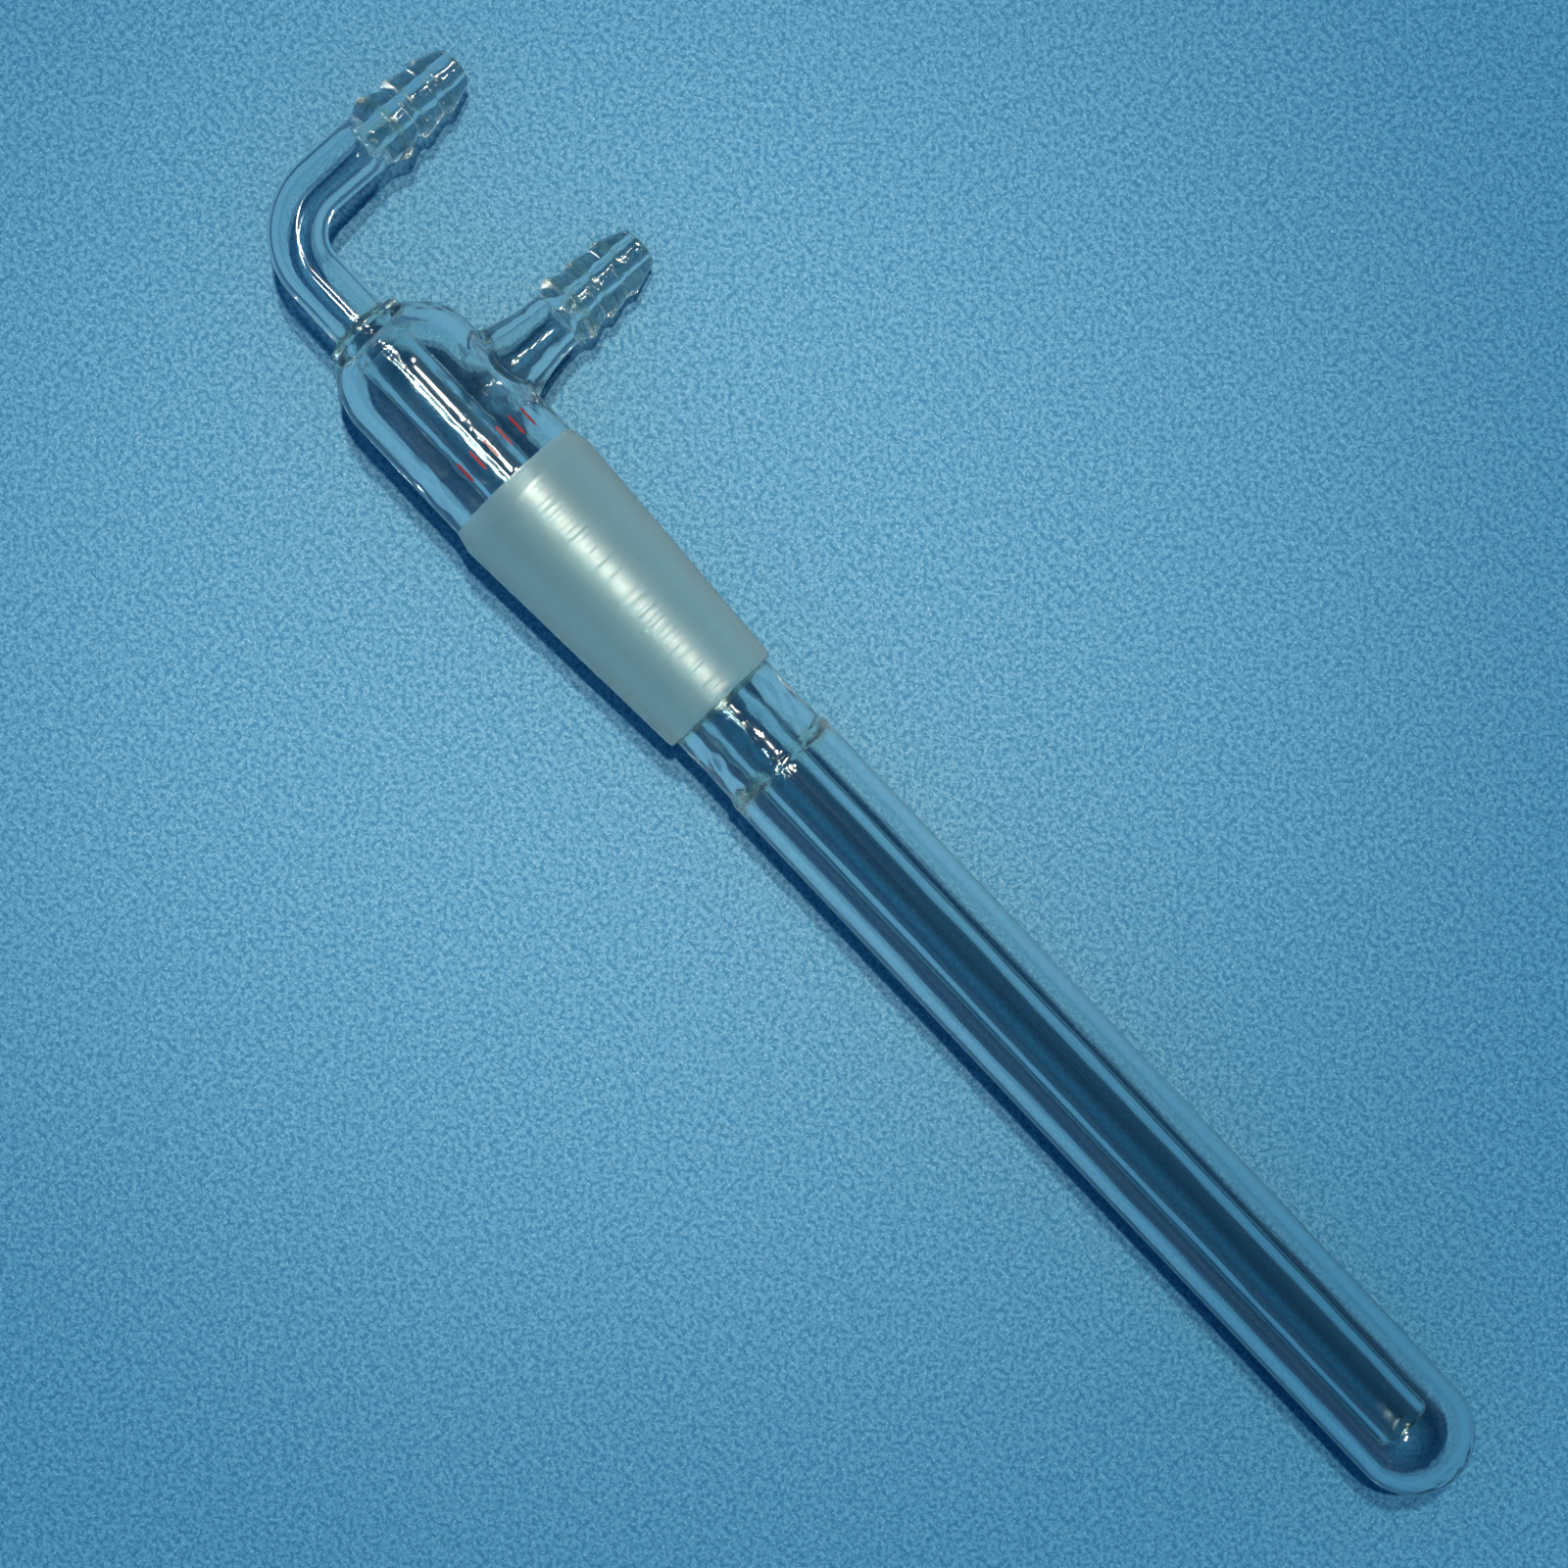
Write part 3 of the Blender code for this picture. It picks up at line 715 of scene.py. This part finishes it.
def behindShadow(finish, glass, shadow, reach):
    # light that falls through the glass is tinted, and more of it is lost where it grazes the wall
    clear = finish.node("BsdfTransparent", {}, {"Color": colour(*shadow["middle"])})
    edge = finish.node("BsdfTransparent", {}, {"Color": colour(*shadow["edge"])})
    passed = finish.node("MixShader", {}, {0: (finish.edgeOn() * reach).clamped(), 1: clear, 2: edge})
    shadowRay = finish.node("LightPath", {}, output=1)
    return finish.node("MixShader", {}, {0: shadowRay, 1: glass, 2: passed})


clearGlass = {
    "body": (0.92, 0.968, 0.976), "thick": (0.87, 0.945, 0.960), "flame": (0.90, 0.80, 0.46), "burn": 1.9,
    "ior": 1.474, "roughness": 0.06, "dulled": 0.30, "ream": 0.08, "reamDepth": 0.0004, "ripples": 9.0,
    "shadow": {"middle": (0.82, 0.875, 0.91), "edge": (0.03, 0.10, 0.17)},
}


def makeClearGlass(name, shadowReach):
    finish = Finish(name)
    everywhere = (1.0, 1.0, 1.0)
    streaks = finish.grain(finish.place((0.05, 0.6, 0.6)), 1.0)
    tint = finish.blend(streaks, colour(*clearGlass["body"]), colour(*clearGlass["thick"]))
    worked = finish.node("Attribute", {"attribute_name": "flameTint"}, output=2)
    patches = finish.grain(finish.place(everywhere), 1.6, 2.0)
    ripples = finish.grain(finish.place(everywhere), 2.4, 1.0)  # left by the flame
    burnt = (worked * (patches * clearGlass["burn"] - 0.25)).clamped()
    tint = finish.blend(burnt, tint, colour(*clearGlass["flame"]))
    ream = finish.grain(finish.place((0.06, 0.45, 0.45)), 1.0, 2.0)  # faint cords drawn out along the tube
    height = ream + worked * ripples * clearGlass["ripples"]
    bump = finish.relief(height, clearGlass["ream"], clearGlass["reamDepth"])
    glass = finish.node("BsdfPrincipled", {}, {
        "Base Color": tint, "Roughness": burnt * clearGlass["dulled"] + clearGlass["roughness"],
        "IOR": clearGlass["ior"], "Transmission Weight": 1.0, "Normal": bump,
    })
    return finish.finished(behindShadow(finish, glass, clearGlass["shadow"], shadowReach))


# rim is a painted rim light: the cone is painted paler and warmer towards its edges as seen
groundGlass = {
    "pale": (0.60, 0.87, 0.83), "dull": (0.47, 0.74, 0.76), "rim": (0.98, 1.0, 0.86), "paintedRimLightReach": 2.6,
    "roughness": (0.58, 0.66), "through": 0.80, "sheen": 0.36, "sheenIor": 1.95,
    "marks": 0.5, "markDepth": 0.00002,
    "shadow": {"middle": (0.25, 0.34, 0.42), "edge": (0.02, 0.05, 0.10)}, "shadowReach": 2.2,
}


def makeGroundGlass():
    finish = Finish("ground_cone_glass")
    cloud = finish.grain(finish.place((0.12, 0.12, 0.12)), 1.0)
    marks = finish.grain(finish.place((1.8, 0.07, 0.07)), 1.0, 2.0, 0.6)  # fine marks round the cone
    grit = finish.grain(finish.place((1.0, 1.0, 1.0)), 14.0, 2.0)
    streaks = (cloud * 0.5 + marks * 1.6 - 0.55).clamped()
    tint = finish.blend(streaks, colour(*groundGlass["pale"]), colour(*groundGlass["dull"]))
    # painted rim light: the colour turns paler and warmer where the surface is seen edge on
    edgeOn = finish.edgeOn()
    paintedRimLight = (edgeOn * edgeOn * groundGlass["paintedRimLightReach"]).clamped()
    tint = finish.blend(paintedRimLight, tint, colour(*groundGlass["rim"]))
    low, high = groundGlass["roughness"]
    bump = finish.relief(marks * 0.7 + grit * 0.5, groundGlass["marks"], groundGlass["markDepth"])
    glass = finish.node("BsdfPrincipled", {}, {
        "Base Color": tint, "Roughness": marks * (high - low) + low, "IOR": clearGlass["ior"],
        "Transmission Weight": groundGlass["through"], "Coat Weight": (marks * 4.5 - 1.4).clamped(),
        "Coat Roughness": groundGlass["sheen"], "Coat IOR": groundGlass["sheenIor"], "Normal": bump,
    })
    return finish.finished(behindShadow(finish, glass, groundGlass["shadow"], groundGlass["shadowReach"]))


enamel = {
    "deep": (0.30, 0.010, 0.012), "worn": (0.42, 0.045, 0.040), "roughness": 0.38,
    "relief": 0.3, "reliefDepth": 0.00003,
}


def makeEnamel():
    finish = Finish("red_fired_enamel")
    worn = finish.grain(finish.place((1.0, 1.0, 1.0)), 5.0, 4.0)
    tint = finish.blend((worn * 1.4 - 0.2).clamped(), colour(*enamel["deep"]), colour(*enamel["worn"]))
    bump = finish.relief(worn, enamel["relief"], enamel["reliefDepth"])
    paint = finish.node("BsdfPrincipled", {}, {
        "Base Color": tint, "Roughness": enamel["roughness"], "Normal": bump
    })
    return finish.finished(paint)


tubeMaterial = makeClearGlass("clear_drawn_glass", shadowReach=2.0)
barbMaterial = makeClearGlass("clear_moulded_glass", shadowReach=1.2)
groundMaterial = makeGroundGlass()


def cutPiece(name, node, material=tubeMaterial):
    # one piece of the skin, cut off at its welds, keeping the smoothness that runs through them
    chosen = [i for i, owner in enumerate(blown.owner) if owner == name]
    used = sorted({corner for i in chosen for corner in skinFaces[i]})
    renumber = {old: new for new, old in enumerate(used)}
    mesh = bpy.data.meshes.new(name)
    corners = [toBench(skinPlaces[k]) for k in used]
    mesh.from_pydata(corners, [], [[renumber[k] for k in skinFaces[i]] for i in chosen])
    mesh.shade_smooth()
    mesh.materials.append(material)
    if any(blown.ground[i] for i in chosen):
        mesh.materials.append(groundMaterial)
        for polygon, i in zip(mesh.polygons, chosen):
            polygon.material_index = int(blown.ground[i])
    place = mesh.attributes.new("glassPlace", "FLOAT_VECTOR", "POINT")
    place.data.foreach_set("vector", [x for k in used for x in blown.points[k]])
    tint = mesh.attributes.new("flameTint", "FLOAT", "POINT")
    tint.data.foreach_set("value", [blown.flame[k] for k in used])
    mesh.normals_split_custom_set_from_vertices([smoothWays[k] for k in used])
    piece = bpy.data.objects.new(name, mesh)
    bpy.context.scene.collection.objects.link(piece)
    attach(piece, "root")
    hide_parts(node)


cutPiece("inlet_barb_glass", "inlet_hose_barb", material=barbMaterial)
cutPiece("inlet_bend_glass", "inlet_bend")
cutPiece("ring_seal_glass", "inlet_ring_seal")
cutPiece("dome_glass", "head_dome")
cutPiece("head_glass", "head_body")
cutPiece("outlet_neck_glass", "outlet_neck")
cutPiece("outlet_barb_glass", "outlet_hose_barb", material=barbMaterial)
cutPiece("cone_glass", "ground_joint_cone")
cutPiece("tail_glass", "joint_tail")
cutPiece("finger_seal_glass", "finger_seal_ring")
cutPiece("finger_glass", "finger_tube")
cutPiece("finger_end_glass", "finger_end_cap")
cutPiece("dip_tube_glass", "dip_tube")
print("pieces cut at the welds")

# a short row of plain fired strokes on the head, next to the cone
strokes = {
    "count": 6, "first": -22.0, "last": 44.0,  # degrees round the head
    "from": -9.6, "to": -6.0, "wide": 0.42, "lift": 0.05, "thick": 0.05, "columns": 3, "rows": 14,
}
topTurn = math.degrees(math.atan2(glassAxes[2][2], glassAxes[2][1]))  # the head's uppermost line as it lies


def strokePoints(k):  # outer and then inner face of one stroke, a little uneven as a brush leaves it
    rows, columns = strokes["rows"], strokes["columns"]
    middle = strokes["first"] + (strokes["last"] - strokes["first"]) * k / (strokes["count"] - 1)
    start = strokes["from"] + 0.5 * noise.noise(Vector((k, 0.3, 0)))
    end = strokes["to"] + 0.4 * noise.noise(Vector((k, 0.9, 0)))
    points = []
    for layer in range(2):
        radius = headRadius + strokes["lift"] + strokes["thick"] * (1 - layer)
        for i in range(rows + 1):
            share = i / rows
            half = strokes["wide"] / 2 * math.sqrt(max(0.05, 1 - (2 * share - 1) ** 8))
            half *= 1 + 0.3 * noise.noise(Vector((share * 5, k * 3.1, 2.0)))
            for j in range(columns + 1):
                turn = math.radians(topTurn - middle) + (2 * j / columns - 1) * half / radius
                station = start + (end - start) * share
                points.append(toBench((station, radius * math.cos(turn), radius * math.sin(turn))))
    return points


def strokeFaces(base):  # both faces and the edge of the stroke whose points start at base
    rows, columns = strokes["rows"], strokes["columns"]

    def spot(layer, i, j):
        return base + (layer * (rows + 1) + i) * (columns + 1) + j

    faces = []
    for i in range(rows):
        for j in range(columns):
            faces.append((spot(0, i, j), spot(0, i, j + 1), spot(0, i + 1, j + 1), spot(0, i + 1, j)))
            faces.append((spot(1, i, j), spot(1, i + 1, j), spot(1, i + 1, j + 1), spot(1, i, j + 1)))
    edge = [(0, j) for j in range(columns)] + [(i, columns) for i in range(rows)]
    edge += [(rows, j) for j in range(columns, 0, -1)] + [(i, 0) for i in range(rows, 0, -1)]
    for (i, j), (p, q) in zip(edge, edge[1:] + edge[:1]):
        faces.append((spot(0, i, j), spot(1, i, j), spot(1, p, q), spot(0, p, q)))
    return faces


def strokeRow():
    points, faces = [], []
    for k in range(strokes["count"]):
        faces += strokeFaces(len(points))
        points += strokePoints(k)
    mesh = bpy.data.meshes.new("size_mark_strokes")
    mesh.from_pydata(points, [], faces)
    work = bmesh.new()
    work.from_mesh(mesh)
    bmesh.ops.recalc_face_normals(work, faces=work.faces)
    work.to_mesh(mesh)
    work.free()
    place = mesh.attributes.new("glassPlace", "FLOAT_VECTOR", "POINT")
    place.data.foreach_set("vector", [x / mm for v in mesh.vertices for x in v.co])
    mesh.materials.append(makeEnamel())
    mesh.shade_smooth()
    mesh.set_sharp_from_angle(angle=math.radians(40))
    row = bpy.data.objects.new("size_mark_strokes", mesh)
    bpy.context.scene.collection.objects.link(row)
    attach(row, "root")


strokeRow()

# bench top, lamps and camera
bench = {
    "half": 3.0, "pale": (0.205, 0.490, 0.735), "deep": (0.074, 0.285, 0.505), "fleck": (0.44, 0.71, 0.89),
    "paintedLightPool": 20.0,  # the glass's station at the middle of the painted pool of light, where the card is painted palest
    "away": (0.41, 0.616, 0.715),  # painted dimming: what its colour is multiplied by far from the pool of light
    "fibreScale": 2400.0, "mottleScale": 1300.0, "driftScale": 9.0, "relief": 0.4, "reliefDepth": 0.0002,
    "roughness": 0.85, "shine": 0.15,
}


def makeBench():
    finish = Finish("pale_blue_card")
    spot = finish.node("TexCoord", {}, output=3)
    fibres = finish.grain(spot, bench["fibreScale"], 2.0, 0.6)
    mottle = finish.grain(spot, bench["mottleScale"], 3.0, 0.6)
    drift = finish.grain(spot, bench["driftScale"], 2.0)
    clouds = (mottle * 5.2 + drift * 0.2 - 2.20).clamped()
    tint = finish.blend(clouds, colour(*bench["deep"]), colour(*bench["pale"]))
    tint = finish.blend((fibres * 6.0 - 3.3).clamped(), tint, colour(*bench["fleck"]))
    # painted pool of light: the card's colour is dimmed with distance from the glass, standing in for lamp
    # light falling off
    paintedLightPool = toBench((bench["paintedLightPool"], 0.0, 0.0))
    spread = {0: spot, 1: (paintedLightPool.x, paintedLightPool.y, 0.0)}
    distance = finish.node("VectorMath", {"operation": "DISTANCE"}, spread, output=1)
    away = (distance * 7.2 - 0.20).clamped()  # distance in metres
    away = away * away * (3.0 - 2.0 * away)
    tint = finish.node("Mix", {"data_type": "RGBA", "blend_type": "MULTIPLY"}, {
        0: away, 6: tint, 7: colour(*bench["away"])
    }, output=2)
    bump = finish.relief(mottle, bench["relief"], bench["reliefDepth"])
    card = finish.node("BsdfPrincipled", {}, {
        "Base Color": tint, "Roughness": bench["roughness"], "Normal": bump,
        "Specular IOR Level": bench["shine"],
    })
    mesh = bpy.data.meshes.new("bench_top")
    half = bench["half"]
    corners = [(-half, -half, 0), (half, -half, 0), (half, half, 0), (-half, half, 0)]
    mesh.from_pydata(corners, [], [(0, 1, 2, 3)])
    mesh.materials.append(finish.finished(card))
    top = bpy.data.objects.new("bench_top", mesh)
    bpy.context.scene.collection.objects.link(top)


makeBench()
scene = bpy.context.scene
lampColour = (1.0, 0.94, 0.76)
lamps = {  # the way to the lamp, its strength and its apparent size in degrees
    "lamp_near": {"way": (-0.24, 0.28, 1.0), "strength": 1.4, "size": 2.6},
    "lamp_far": {"way": (-0.067, 0.165, 1.0), "strength": 1.4, "size": 2.0},
}
room = {"low": (0.30, 0.48, 0.58), "overhead": (0.030, 0.135, 0.255), "overheadFrom": 0.35}
view = {
    "u": 56.4, "v": -1.7, "field": 229.6,  # where it aims and how wide it sees there, in millimetres
    "turn": 46.6366, "distance": 0.62, "sensor": 36.0, "clip": 20.0,
}


def hangLamps():
    for name, lamp in lamps.items():
        light = bpy.data.lights.new(name, "SUN")
        light.energy = lamp["strength"]
        light.angle = math.radians(lamp["size"])
        light.color = lampColour
        holder = bpy.data.objects.new(name, light)
        holder.rotation_euler = Vector(lamp["way"]).to_track_quat("Z", "Y").to_euler()
        scene.collection.objects.link(holder)


def lightRoom():  # pale low down, dark overhead
    studio = bpy.data.worlds.new("studio")
    studio.use_nodes = True
    nodes, links = studio.node_tree.nodes, studio.node_tree.links
    way = nodes.new("ShaderNodeTexCoord")
    height = nodes.new("ShaderNodeSeparateXYZ")
    fade = nodes.new("ShaderNodeValToRGB")
    low, overhead = fade.color_ramp.elements
    low.color = colour(*room["low"])
    overhead.color = colour(*room["overhead"])
    overhead.position = room["overheadFrom"]
    links.new(way.outputs["Generated"], height.inputs[0])
    links.new(height.outputs["Z"], fade.inputs[0])
    links.new(fade.outputs["Color"], nodes["Background"].inputs["Color"])
    scene.world = studio


def placeCamera():  # straight above the glass
    camera = bpy.data.cameras.new("camera")
    camera.sensor_width = view["sensor"]
    camera.lens = camera.sensor_width * view["distance"] / (view["field"] * mm)
    camera.clip_end = view["clip"]
    aim = toBench((view["u"], 0.0, 0.0)) + Vector((0.0, view["v"] * mm, 0.0))
    holder = bpy.data.objects.new("camera", camera)
    holder.location = (aim.x, aim.y, coneCentre.z + view["distance"])
    holder.rotation_euler = (0.0, 0.0, math.radians(view["turn"]))
    scene.collection.objects.link(holder)
    scene.camera = holder


hangLamps()
lightRoom()
placeCamera()
scene.view_settings.view_transform = "Standard"
scene.cycles.max_bounces = 32
scene.cycles.transmission_bounces = 32
scene.cycles.glossy_bounces = 12
scene.cycles.transparent_max_bounces = 48
scene.cycles.caustics_reflective = False
scene.cycles.caustics_refractive = False
scene.cycles.sample_clamp_indirect = 40.0
scene.cycles.blur_glossy = 0.0
print("bench, lamps and camera set")
